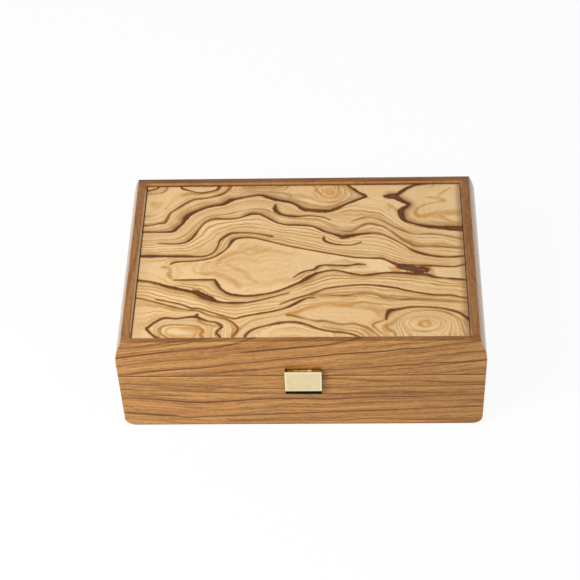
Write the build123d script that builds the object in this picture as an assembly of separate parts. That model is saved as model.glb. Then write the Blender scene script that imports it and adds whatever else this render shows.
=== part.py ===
from build123d import *
import os
from math import radians, tan

# Millimetres. X runs left to right, Y front to back and Z up.
# The origin is the middle of the underside, and the clasp is on the front, at -Y.

# Outer case
WIDTH = 240.0
DEPTH = 152.0
HEIGHT = 84.0
SEAM_HEIGHT = 50.0
SEAM_GAP = 0.4
SEAM_EASE = 0.5
BASE_CORNER_RADIUS = 7.0
FRONT_EDGE_RADIUS = 1.2

# Sides of the lid: upright at the seam, then leaning in to the rim
LEAN_INSET = 5.0
LEAN_DROP = 12.0
LEAN_RADIUS = 40.0

# Boards
SIDE_BOARD = 14.0
END_BOARD = 9.0
BOTTOM_BOARD = 5.0
BOTTOM_LET_IN = 4.0
DIVIDER = 6.0
DIVIDER_BELOW_SEAM = 4.0

# Raised rim and the panel inside it
SIDE_RIM_FLAT = 5.0
END_RIM_FLAT = 4.7
RIM_CHAMFER = 1.1
PANEL_RECESS = 2.2
PANEL_BOARD = 4.0
VENEER = 0.8
PANEL_GAP = 0.4

# Felt
LINING = 1.2
LINING_FLOOR = 1.6
LINING_BELOW_SEAM = 2.0

# Butt hinges let into the back boards
HINGE_LENGTH = 32.0
HINGE_FROM_END = 45.0
HINGE_PIN_INSET = 2.4
LEAF_WIDTH = 6.2
LEAF_THICKNESS = 1.0
BARREL_RADIUS = 1.6
HINGE_PIN_RADIUS = 0.8
KNUCKLES = 3
KNUCKLE_GAP = 0.16
OPENING_ANGLE = 100.0
GROOVE_CLEARANCE = 0.2
LET_IN_CLEARANCE = 0.1
BARREL_CLEARANCE = 0.25

# Screws
SCREW_RADIUS = 0.8
SCREW_HEAD_RADIUS = 1.5
SCREW_LENGTH = 7.0
SCREW_CLEARANCE = 0.03
HINGE_SCREW_SPACING = 20.0
HINGE_SCREW_FROM_PIN = 3.7

# Clasp flap: a face plate with a narrower hood behind its top edge
CLASP_OFFSET = 1.3
CLASP_WIDTH = 24.0
CLASP_HEIGHT = 19.4
CLASP_ABOVE_SEAM = 8.7
CLASP_PROUD = 3.75
CLASP_PLATE = 1.0
CLASP_BORDER = 1.4
CLASP_BORDER_DEPTH = 0.3
CLASP_CORNER_RADIUS = 0.5
HOOD_WIDTH = 23.4
HOOD_WALL = 0.9
CLASP_BARREL_RADIUS = 0.95
CLASP_PIN_RADIUS = 0.45
BRACKET_KNUCKLE = 12.0
BRACKET_PLATE = 0.5
BRACKET_WIDTH = 23.0
BRACKET_BELOW_TOP = 0.3
BRACKET_ABOVE_SEAM = 1.0
CLASP_SCREW_SPACING = 16.4
CLASP_SCREW_HEAD_RADIUS = 1.1
CLASP_SCREW_RADIUS = 0.6
CLASP_SCREW_LENGTH = 6.0
CLASP_CLEARANCE = 0.15
PIN_CLEARANCE = 0.04

# Black keeper on the base, behind the lower half of the flap
KEEPER_WIDTH = 23.8
KEEPER_PROUD = 2.45
KEEPER_BELOW_CLASP = 4.5
KEEPER_BELOW_SEAM = 0.6
KEEPER_CORNER_RADIUS = 0.8
KEEPER_CHAMFER = 0.3
KEEPER_PIN_RADIUS = 0.6
KEEPER_PIN_SPACING = 16.0
KEEPER_PIN_IN_WOOD = 6.0
MAGNET_WIDTH = 8.0
MAGNET_HEIGHT = 4.0
MAGNET_THICKNESS = 1.5

# Planes and lines that several pieces share
LID_BOTTOM = SEAM_HEIGHT + SEAM_GAP
AXIS_Z = SEAM_HEIGHT + SEAM_GAP / 2
AXIS_Y = DEPTH / 2 - HINGE_PIN_INSET
INNER_X = WIDTH / 2 - SIDE_BOARD
INNER_Y = DEPTH / 2 - END_BOARD
RIM_X = WIDTH / 2 - LEAN_INSET - SIDE_RIM_FLAT - RIM_CHAMFER
RIM_Y = DEPTH / 2 - END_RIM_FLAT - RIM_CHAMFER
PANEL_TOP = HEIGHT - PANEL_RECESS
LEDGE_Z = PANEL_TOP - VENEER - PANEL_BOARD
DIVIDER_TOP = SEAM_HEIGHT - DIVIDER_BELOW_SEAM
LINING_TOP = SEAM_HEIGHT - LINING_BELOW_SEAM
FRONT = -DEPTH / 2
CLASP_PLACE = Pos(CLASP_OFFSET, 0, 0)
PLATE_BACK = FRONT - CLASP_PROUD + CLASP_PLATE
CLASP_TOP = SEAM_HEIGHT + CLASP_ABOVE_SEAM
CLASP_BOTTOM = CLASP_TOP - CLASP_HEIGHT
CLASP_AXIS_Y = FRONT - BRACKET_PLATE - CLASP_CLEARANCE - CLASP_BARREL_RADIUS
CLASP_AXIS_Z = CLASP_TOP - CLASP_BARREL_RADIUS
BRACKET_BOTTOM = LID_BOTTOM + BRACKET_ABOVE_SEAM
CLASP_SCREW_Z = (BRACKET_BOTTOM + CLASP_AXIS_Z - CLASP_BARREL_RADIUS) / 2
KEEPER_TOP = SEAM_HEIGHT - KEEPER_BELOW_SEAM
KEEPER_BOTTOM = CLASP_BOTTOM - KEEPER_BELOW_CLASP
KEEPER_MIDDLE = (KEEPER_TOP + KEEPER_BOTTOM) / 2
HINGE_CENTRES = (HINGE_FROM_END - WIDTH / 2, WIDTH / 2 - HINGE_FROM_END)


def block(x_low, x_high, y_low, y_high, z_low, z_high):
    """A box between two corners."""
    size = (x_high - x_low, y_high - y_low, z_high - z_low)
    middle = ((x_low + x_high) / 2, (y_low + y_high) / 2, (z_low + z_high) / 2)
    return Pos(*middle) * Box(*size)


def upright(outline, y_low, y_high):
    """An outline drawn in X and Z, made solid from one Y to another."""
    return Plane.XZ.offset(-y_high) * extrude(outline, y_high - y_low)


def section(outline, x_low, x_high):
    """An outline drawn in Y and Z, made solid from one X to another."""
    return Plane.YZ.offset(x_low) * extrude(outline, x_high - x_low)


def rod(x_low, x_high, y, z, radius):
    """A round bar along X."""
    bar = Rot(0, 90, 0) * Cylinder(radius, x_high - x_low)
    return Pos((x_low + x_high) / 2, y, z) * bar


def screw(radius, head_radius, head_height, length, play=0.0):
    """A countersunk screw that points down, with the top of its head at the origin."""
    shank = Pos(0, 0, -length / 2) * Cylinder(radius + play, length + 2 * play)
    cone = Cone(radius + play, head_radius + play, head_height)
    return shank + Pos(0, 0, -head_height / 2) * cone


def limited_radius(wanted, corner_drop, corner_inset):
    """The radius wanted at the knee of the lid's side, or what its leaning stretch has room for."""
    leaning_length = (corner_drop**2 + corner_inset**2) ** 0.5
    half_turn_tangent = (leaning_length - corner_drop) / corner_inset
    return min(wanted, 0.9 * leaning_length / half_turn_tangent)


def base_outline():
    outline = Pos(0, SEAM_HEIGHT / 2) * Rectangle(WIDTH, SEAM_HEIGHT)
    outline = fillet(outline.vertices().group_by(Axis.Y)[0], BASE_CORNER_RADIUS)
    return chamfer(outline.vertices().group_by(Axis.Y)[-1], SEAM_EASE)


def lid_outline():
    half = WIDTH / 2
    knee_z = HEIGHT - LEAN_DROP
    right = [(half, LID_BOTTOM), (half, knee_z), (half - LEAN_INSET, HEIGHT)]
    left = [(-x, z) for x, z in reversed(right)]
    outline = make_face(Polyline(*right, *left, close=True))
    knees = [v for v in outline.vertices() if abs(v.Y - knee_z) < 1e-6]
    outline = fillet(knees, limited_radius(LEAN_RADIUS, LEAN_DROP, LEAN_INSET))
    return chamfer(outline.vertices().group_by(Axis.Y)[0], SEAM_EASE)


def stop_groove():
    """The two bevels along the seam at the back that meet when the lid is fully open."""
    apex = AXIS_Y - GROOVE_CLEARANCE
    outside = DEPTH / 2 + 1
    rise = (outside - apex) * tan(radians(OPENING_ANGLE / 2))
    corners = [(apex, AXIS_Z), (outside, AXIS_Z - rise), (outside, AXIS_Z + rise)]
    return section(make_face(Polyline(*corners, close=True)), -WIDTH, WIDTH)


def front_groove():
    """The small V along the seam at the front that eases both boards there."""
    depth = SEAM_EASE + SEAM_GAP / 2
    outside = FRONT - depth
    corners = [(FRONT + depth, AXIS_Z), (outside, AXIS_Z - 2 * depth), (outside, AXIS_Z + 2 * depth)]
    return section(make_face(Polyline(*corners, close=True)), -WIDTH, WIDTH)


def hinge_let_in(centre):
    """The room that one hinge takes from both back boards."""
    half = HINGE_LENGTH / 2 + LET_IN_CLEARANCE
    scoop = rod(centre - half, centre + half, AXIS_Y, AXIS_Z, BARREL_RADIUS + BARREL_CLEARANCE)
    leaf_front = AXIS_Y - LEAF_WIDTH - LET_IN_CLEARANCE
    low = SEAM_HEIGHT - LEAF_THICKNESS
    high = LID_BOTTOM + LEAF_THICKNESS
    return scoop + block(centre - half, centre + half, leaf_front, AXIS_Y, low, high)


def knuckle_spans(centre, of_lid):
    """The X stretches of the knuckles of one leaf: the base has the odd ones."""
    pitch = HINGE_LENGTH / KNUCKLES
    start = centre - HINGE_LENGTH / 2
    for index in range(KNUCKLES):
        if index % 2 == int(of_lid):
            yield start + index * pitch, start + (index + 1) * pitch


def hinge_leaf(centre, of_lid):
    """A flat leaf and its knuckles round the hinge pin."""
    low = LID_BOTTOM if of_lid else SEAM_HEIGHT - LEAF_THICKNESS
    half = HINGE_LENGTH / 2
    front = AXIS_Y - LEAF_WIDTH
    leaf = block(centre - half, centre + half, front, AXIS_Y, low, low + LEAF_THICKNESS)
    for x_low, x_high in knuckle_spans(centre, not of_lid):
        cut = (x_low - KNUCKLE_GAP / 2, x_high + KNUCKLE_GAP / 2)
        leaf -= rod(*cut, AXIS_Y, AXIS_Z, BARREL_RADIUS + BARREL_CLEARANCE)
    for x_low, x_high in knuckle_spans(centre, of_lid):
        leaf += rod(x_low + KNUCKLE_GAP / 2, x_high - KNUCKLE_GAP / 2, AXIS_Y, AXIS_Z, BARREL_RADIUS)
    leaf -= rod(centre - half, centre + half, AXIS_Y, AXIS_Z, HINGE_PIN_RADIUS + PIN_CLEARANCE)
    for screw_hole in hinge_screws(centre, of_lid, SCREW_CLEARANCE):
        leaf -= screw_hole
    return leaf


def hinge_screws(centre, of_lid, play=0.0):
    """The screws of one leaf, which point down into the base or up into the lid."""
    for side in (-1, 1):
        body = screw(SCREW_RADIUS, SCREW_HEAD_RADIUS, LEAF_THICKNESS, SCREW_LENGTH, play)
        turned = Rot(180, 0, 0) * body if of_lid else body
        z = LID_BOTTOM if of_lid else SEAM_HEIGHT
        yield Pos(centre + side * HINGE_SCREW_SPACING / 2, AXIS_Y - HINGE_SCREW_FROM_PIN, z) * turned


def hinge_pin(centre):
    half = HINGE_LENGTH / 2
    return rod(centre - half, centre + half, AXIS_Y, AXIS_Z, HINGE_PIN_RADIUS)


def bracket_screws(play=0.0):
    """The small screws that run back through the bracket into the front of the lid."""
    size = (CLASP_SCREW_RADIUS, CLASP_SCREW_HEAD_RADIUS, BRACKET_PLATE, CLASP_SCREW_LENGTH)
    for side in (-1, 1):
        x = side * CLASP_SCREW_SPACING / 2
        yield Pos(x, FRONT - BRACKET_PLATE, CLASP_SCREW_Z) * Rot(90, 0, 0) * screw(*size, play)


def keeper_pins(play=0.0):
    """The plain pins, flush with the keeper, that hold it on the front of the base."""
    length = KEEPER_PROUD + KEEPER_PIN_IN_WOOD + play
    for side in (-1, 1):
        pin = Rot(90, 0, 0) * Cylinder(KEEPER_PIN_RADIUS + play, length)
        x = side * KEEPER_PIN_SPACING / 2
        yield Pos(x, FRONT - KEEPER_PROUD + length / 2, KEEPER_MIDDLE) * pin


def base_bottom():
    """The bottom board, let into the four walls and flush with their underside."""
    x = INNER_X + BOTTOM_LET_IN
    y = INNER_Y + BOTTOM_LET_IN
    return block(-x, x, -y, y, 0, BOTTOM_BOARD)


def base_boards():
    front = upright(base_outline(), FRONT, -INNER_Y) - front_groove()
    back = upright(base_outline(), INNER_Y, DEPTH / 2) - stop_groove()
    ends = upright(base_outline(), -INNER_Y, INNER_Y)
    ends -= block(-INNER_X, INNER_X, -INNER_Y, INNER_Y, 0, SEAM_HEIGHT)
    for centre in HINGE_CENTRES:
        back -= hinge_let_in(centre)
        for hole in hinge_screws(centre, False, SCREW_CLEARANCE):
            back -= hole
    for hole in keeper_pins(SCREW_CLEARANCE):
        front -= CLASP_PLACE * hole
    bottom = base_bottom()
    left, right = (ends - bottom).solids().sort_by(Axis.X)
    return {
        "base_front": front - bottom,
        "base_back": back - bottom,
        "base_left": left,
        "base_right": right,
        "base_bottom": bottom,
    }


def panel_room():
    """The recess that holds the panel, with the chamfer round its mouth."""
    recess = block(-RIM_X, RIM_X, -RIM_Y, RIM_Y, LEDGE_Z, HEIGHT)
    mouth = Pos(0, 0, HEIGHT - RIM_CHAMFER) * Rectangle(2 * RIM_X, 2 * RIM_Y)
    return recess + extrude(mouth, RIM_CHAMFER, taper=-45)


def lid_boards():
    room = panel_room()
    front = upright(lid_outline(), FRONT, -INNER_Y)
    back = upright(lid_outline(), INNER_Y, DEPTH / 2)
    front = fillet(front.edges().group_by(Axis.Z)[-1].sort_by(Axis.Y)[0], FRONT_EDGE_RADIUS)
    back = fillet(back.edges().group_by(Axis.Z)[-1].sort_by(Axis.Y)[-1], FRONT_EDGE_RADIUS)
    front -= front_groove()
    back -= stop_groove()
    ends = upright(lid_outline(), -INNER_Y, INNER_Y)
    ends -= block(-INNER_X, INNER_X, -INNER_Y, INNER_Y, 0, LEDGE_Z)
    for centre in HINGE_CENTRES:
        back -= hinge_let_in(centre)
        for hole in hinge_screws(centre, True, SCREW_CLEARANCE):
            back -= hole
    for hole in bracket_screws(SCREW_CLEARANCE):
        front -= CLASP_PLACE * hole
    left, right = (ends - room).solids().sort_by(Axis.X)
    return {
        "lid_front": front - room,
        "lid_back": back - room,
        "lid_left": left,
        "lid_right": right,
    }


def panel_sheet(z_low, z_high):
    x = RIM_X - PANEL_GAP
    y = RIM_Y - PANEL_GAP
    return block(-x, x, -y, y, z_low, z_high)


def tray_lining(side):
    """The felt tray of one compartment: a floor with four walls."""
    near, far = DIVIDER / 2, INNER_X
    outer = block(near, far, -INNER_Y, INNER_Y, BOTTOM_BOARD, LINING_TOP)
    wall = block(near, near + LINING, -INNER_Y, INNER_Y, DIVIDER_TOP, LINING_TOP)
    x_low, x_high = near + LINING, far - LINING
    y = INNER_Y - LINING
    inner = block(x_low, x_high, -y, y, BOTTOM_BOARD + LINING_FLOOR, LINING_TOP)
    tray = outer - inner - wall
    return tray if side > 0 else mirror(tray, Plane.YZ)


def clasp_plate():
    """The face plate of the clasp, with a shallow bevel as its border."""
    back = CLASP_PLATE - CLASP_BORDER_DEPTH
    sharp = Rectangle(CLASP_WIDTH, CLASP_HEIGHT)
    field = Rectangle(CLASP_WIDTH - 2 * CLASP_BORDER, CLASP_HEIGHT - 2 * CLASP_BORDER)
    bevelled = extrude(sharp, back) + loft([Pos(0, 0, back) * sharp, Pos(0, 0, CLASP_PLATE) * field])
    rounded = extrude(RectangleRounded(CLASP_WIDTH, CLASP_HEIGHT, CLASP_CORNER_RADIUS), CLASP_PLATE)
    return Pos(0, PLATE_BACK, (CLASP_TOP + CLASP_BOTTOM) / 2) * Rot(90, 0, 0) * (bevelled & rounded)


def clasp_flap():
    """The face plate, and behind its top edge a hood that turns on the clasp's pin."""
    half = HOOD_WIDTH / 2
    rear = CLASP_AXIS_Y + CLASP_BARREL_RADIUS
    cheek_bottom = LID_BOTTOM + BRACKET_ABOVE_SEAM / 2
    top = Line((PLATE_BACK, CLASP_TOP), (CLASP_AXIS_Y, CLASP_TOP))
    curl = CenterArc((CLASP_AXIS_Y, CLASP_AXIS_Z), CLASP_BARREL_RADIUS, 90, -90)
    cheek = Polyline((rear, CLASP_AXIS_Z), (rear, BRACKET_BOTTOM), (PLATE_BACK, cheek_bottom))
    front = Line((PLATE_BACK, cheek_bottom), (PLATE_BACK, CLASP_TOP))
    hood = section(make_face([top, curl, cheek, front]), -half, half)

    inside = half - HOOD_WALL
    cavity = block(-inside, inside, PLATE_BACK, FRONT, SEAM_HEIGHT, CLASP_TOP - HOOD_WALL)
    hood -= cavity - rod(-inside, inside, CLASP_AXIS_Y, CLASP_AXIS_Z, CLASP_BARREL_RADIUS)
    notch = BRACKET_KNUCKLE / 2 + CLASP_CLEARANCE
    hood -= block(-notch, notch, PLATE_BACK, FRONT, SEAM_HEIGHT, CLASP_TOP)
    bore = rod(-half, half, CLASP_AXIS_Y, CLASP_AXIS_Z, CLASP_PIN_RADIUS + PIN_CLEARANCE)
    return clasp_plate() + (hood - bore)


def clasp_bracket():
    """A plate behind the hood, with the middle knuckle of the clasp's hinge."""
    half = BRACKET_WIDTH / 2
    knuckle = BRACKET_KNUCKLE / 2
    top = CLASP_TOP - BRACKET_BELOW_TOP
    web_bottom = CLASP_AXIS_Z - CLASP_BARREL_RADIUS
    bracket = block(-half, half, FRONT - BRACKET_PLATE, FRONT, BRACKET_BOTTOM, top)
    bracket += block(-knuckle, knuckle, CLASP_AXIS_Y, FRONT, web_bottom, CLASP_AXIS_Z)
    bracket += rod(-knuckle, knuckle, CLASP_AXIS_Y, CLASP_AXIS_Z, CLASP_BARREL_RADIUS)
    bracket -= rod(-knuckle, knuckle, CLASP_AXIS_Y, CLASP_AXIS_Z, CLASP_PIN_RADIUS + PIN_CLEARANCE)
    for hole in bracket_screws(SCREW_CLEARANCE):
        bracket -= hole
    return bracket


def magnet(play=0.0):
    """The bar magnet, flush with the face of the keeper."""
    depth = MAGNET_THICKNESS + play
    bar = Box(MAGNET_WIDTH + 2 * play, depth, MAGNET_HEIGHT + 2 * play)
    return Pos(0, FRONT - KEEPER_PROUD + depth / 2, KEEPER_MIDDLE) * bar


def clasp_keeper():
    """A thick plate on the front of the base, longer than the flap that closes over it."""
    outline = RectangleRounded(KEEPER_WIDTH, KEEPER_TOP - KEEPER_BOTTOM, KEEPER_CORNER_RADIUS)
    keeper = upright(Pos(0, KEEPER_MIDDLE) * outline, FRONT - KEEPER_PROUD, FRONT)
    keeper = chamfer(keeper.faces().sort_by(Axis.Y)[0].edges(), KEEPER_CHAMFER)
    keeper -= magnet(SCREW_CLEARANCE)
    for hole in keeper_pins(SCREW_CLEARANCE):
        keeper -= hole
    return keeper


def clasp_parts():
    """The pieces of the clasp, made about the middle of the box."""
    half = HOOD_WIDTH / 2
    return {
        "clasp_keeper": clasp_keeper(),
        "keeper_magnet": magnet(),
        "keeper_pins": Compound(keeper_pins()),
        "clasp_bracket": clasp_bracket(),
        "clasp_bracket_screws": Compound(bracket_screws()),
        "clasp_flap": clasp_flap(),
        "clasp_pin": rod(-half, half, CLASP_AXIS_Y, CLASP_AXIS_Z, CLASP_PIN_RADIUS),
    }


def make_parts():
    parts = base_boards()
    parts["divider"] = block(-DIVIDER / 2, DIVIDER / 2, -INNER_Y, INNER_Y, BOTTOM_BOARD, DIVIDER_TOP)
    parts["tray_lining_left"] = tray_lining(-1)
    parts["tray_lining_right"] = tray_lining(1)

    parts.update(lid_boards())
    parts["lid_panel"] = panel_sheet(LEDGE_Z, PANEL_TOP - VENEER)
    parts["lid_veneer"] = panel_sheet(PANEL_TOP - VENEER, PANEL_TOP)
    parts["lid_lining"] = block(-INNER_X, INNER_X, -INNER_Y, INNER_Y, LEDGE_Z - LINING, LEDGE_Z)

    for name, centre in zip(("left", "right"), HINGE_CENTRES):
        parts[f"hinge_{name}_base_leaf"] = hinge_leaf(centre, False)
        parts[f"hinge_{name}_lid_leaf"] = hinge_leaf(centre, True)
        parts[f"hinge_{name}_pin"] = hinge_pin(centre)
    for name, of_lid in (("base", False), ("lid", True)):
        screws = [body for centre in HINGE_CENTRES for body in hinge_screws(centre, of_lid)]
        parts[f"hinge_{name}_screws"] = Compound(screws)

    for name, shape in clasp_parts().items():
        parts[name] = CLASP_PLACE * shape
    return parts


def main():
    os.makedirs("parts", exist_ok=True)
    for name, shape in make_parts().items():
        export_step(shape, f"parts/{name}.step")


main()
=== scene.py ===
"""The looks of the chess piece box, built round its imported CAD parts.

Lengths with no unit in their name are in millimetres and are turned into metres where they
reach Blender. The frame is the CAD's: X along the front, Y towards the back, Z up.
"""
import math

import bmesh
import bpy
import numpy as np
from mathutils import Matrix, Vector, noise


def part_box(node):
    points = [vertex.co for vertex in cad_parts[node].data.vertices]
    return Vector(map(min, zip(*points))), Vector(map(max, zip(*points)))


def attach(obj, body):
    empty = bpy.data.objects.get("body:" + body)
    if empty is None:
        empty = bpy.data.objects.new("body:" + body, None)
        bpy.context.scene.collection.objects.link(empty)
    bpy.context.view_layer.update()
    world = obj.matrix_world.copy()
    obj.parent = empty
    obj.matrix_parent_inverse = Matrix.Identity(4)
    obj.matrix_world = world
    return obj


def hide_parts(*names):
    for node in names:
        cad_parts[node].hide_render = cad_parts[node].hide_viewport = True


MM = 0.001

# The photograph's camera, from fitting the corners of the rim, the seam and the base.
CAMERA_TARGET = (0.0, 0.0, 40.0)
CAMERA_DISTANCE = 1149.0
CAMERA_ELEVATION = 47.55
CAMERA_YAW = 3.28
CAMERA_ROLL = -2.88
CAMERA_SHIFT_RIGHT = -9.2
CAMERA_SHIFT_UP = 7.1
CAMERA_LENS = 103.84
SENSOR_WIDTH = 36.0
CLIP_NEAR, CLIP_FAR = 10.0, 20000.0

# The studio: a bright room, a key lamp at the front left and a weak fill at the front right.
WORLD_STRENGTH = 0.38
KEY_PLACE, KEY_SIZE, KEY_POWER = (-620, -560, 860), 450, 11.5
FILL_PLACE, FILL_SIZE, FILL_POWER = (800, -500, 700), 900, 1.0
FLOOR_REACH = 4000
FLOOR_DROP = 0.05
FLOOR_GLOW = 0.93

# The veneer's grid, the spacing of the points along the lines drawn on it, and how the growth
# field is relaxed: on how many times coarser a grid, and in how many rounds.
VENEER_GRID = 0.65
LINE_STEP = 1.2
HEART_POINTS = 60
RELAXING = ((8, 500), (4, 240), (2, 160), (1, 60))
LAST_ROUNDS = 5
OUT_OF_REACH = 1000.0
MOST_OUTSIDE = 6.0

# The case wood's named grain lines: the spans that their numbers lie in, and how they fade.
GRAIN_X, GRAIN_HEIGHT, GRAIN_WIDTH = (-120, 120), (0, 90), (0, 3)
GRAIN_SOFTNESS = 0.5
GRAIN_SHADE_REACH = 3.5

# How far the rim reaches down, and how far in its inner bevel starts on the long and short sides.
RIM_DEPTH = 4.0
BEVEL_IN_LONG, BEVEL_IN_SHORT = 4.3, 9.6

CLASP_BORDER = 1.4

# The felt: its thickness, the rounding of its cut top edge, the corners and the fold at the floor
# of a tray's piece, and the corners and cut edge of the lid's.
FELT_THICKNESS = 1.0
FELT_TOP = 0.3
TRAY_CORNER, TRAY_FOLD = 1.6, 1.2
LID_FELT_CORNER, LID_FELT_EDGE = 1.5, 0.25

# Colours as they look on screen, from 0 to 255.
WOOD_LIGHT = (203, 149, 80)
WOOD_MIDDLE = (187, 131, 68)
WOOD_BROWN = (160, 101, 44)
WOOD_DARK = (92, 46, 6)
# Pale wood, for the pale grain and for the painted highlight below the seam.
WOOD_PALE_AND_HIGHLIGHT = (204, 158, 94)
# Painted highlight and shade for the rim's inner chamfer: front and back, left end, right end.
BEVEL_HIGHLIGHT = (158, 106, 62)
BEVEL_HIGHLIGHT_LEFT = (214, 178, 140)
BEVEL_SHADE_RIGHT = (116, 80, 52)
RIM_SHADE = (180, 167, 180)
VENEER_PALE = (237, 204, 153)
VENEER_TAN = (230, 191, 136)
VENEER_GRAIN = (182, 130, 62)
VENEER_GREY = (214, 190, 146)
VENEER_AMBER = (194, 136, 60)
VENEER_SHADE = (178, 131, 78)
VENEER_BROWN = (144, 92, 38)
VENEER_DARK = (78, 43, 16)
# Painted shade for the panel's edges next to the rim.
VENEER_EDGE_SHADE = (140, 106, 70)
BIRCH = (222, 196, 156)
BIRCH_GRAIN = (198, 164, 118)
BIRCH_FLECK = (170, 132, 88)
BRASS_FACE = (233, 218, 172)
BRASS_SHADE = (218, 200, 148)
# Painted highlight, on the clasp face's bevelled edge and as a glint on its hood.
BRASS_HIGHLIGHT = (244, 236, 200)
BRASS_TOP = (206, 174, 106)
BRASS_DARK = (158, 124, 68)
BRASS_EDGE = (84, 60, 30)
BRASS_OLD = (176, 140, 78)
HINGE_WORN = (120, 86, 44)
SCREW_WORN = (110, 80, 42)
STEEL = (170, 170, 172)
STEEL_WORN = (110, 110, 112)
KEEPER_BLACK = (14, 11, 7)
KEEPER_GREY = (22, 19, 17)
FELT_DARK = (44, 38, 34)
FELT_DEEP = (30, 26, 23)
FELT_HAIR = (84, 75, 68)
FLOOR_WHITE = (244, 244, 243)
FLOOR_GREY = (240, 240, 239)

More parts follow.
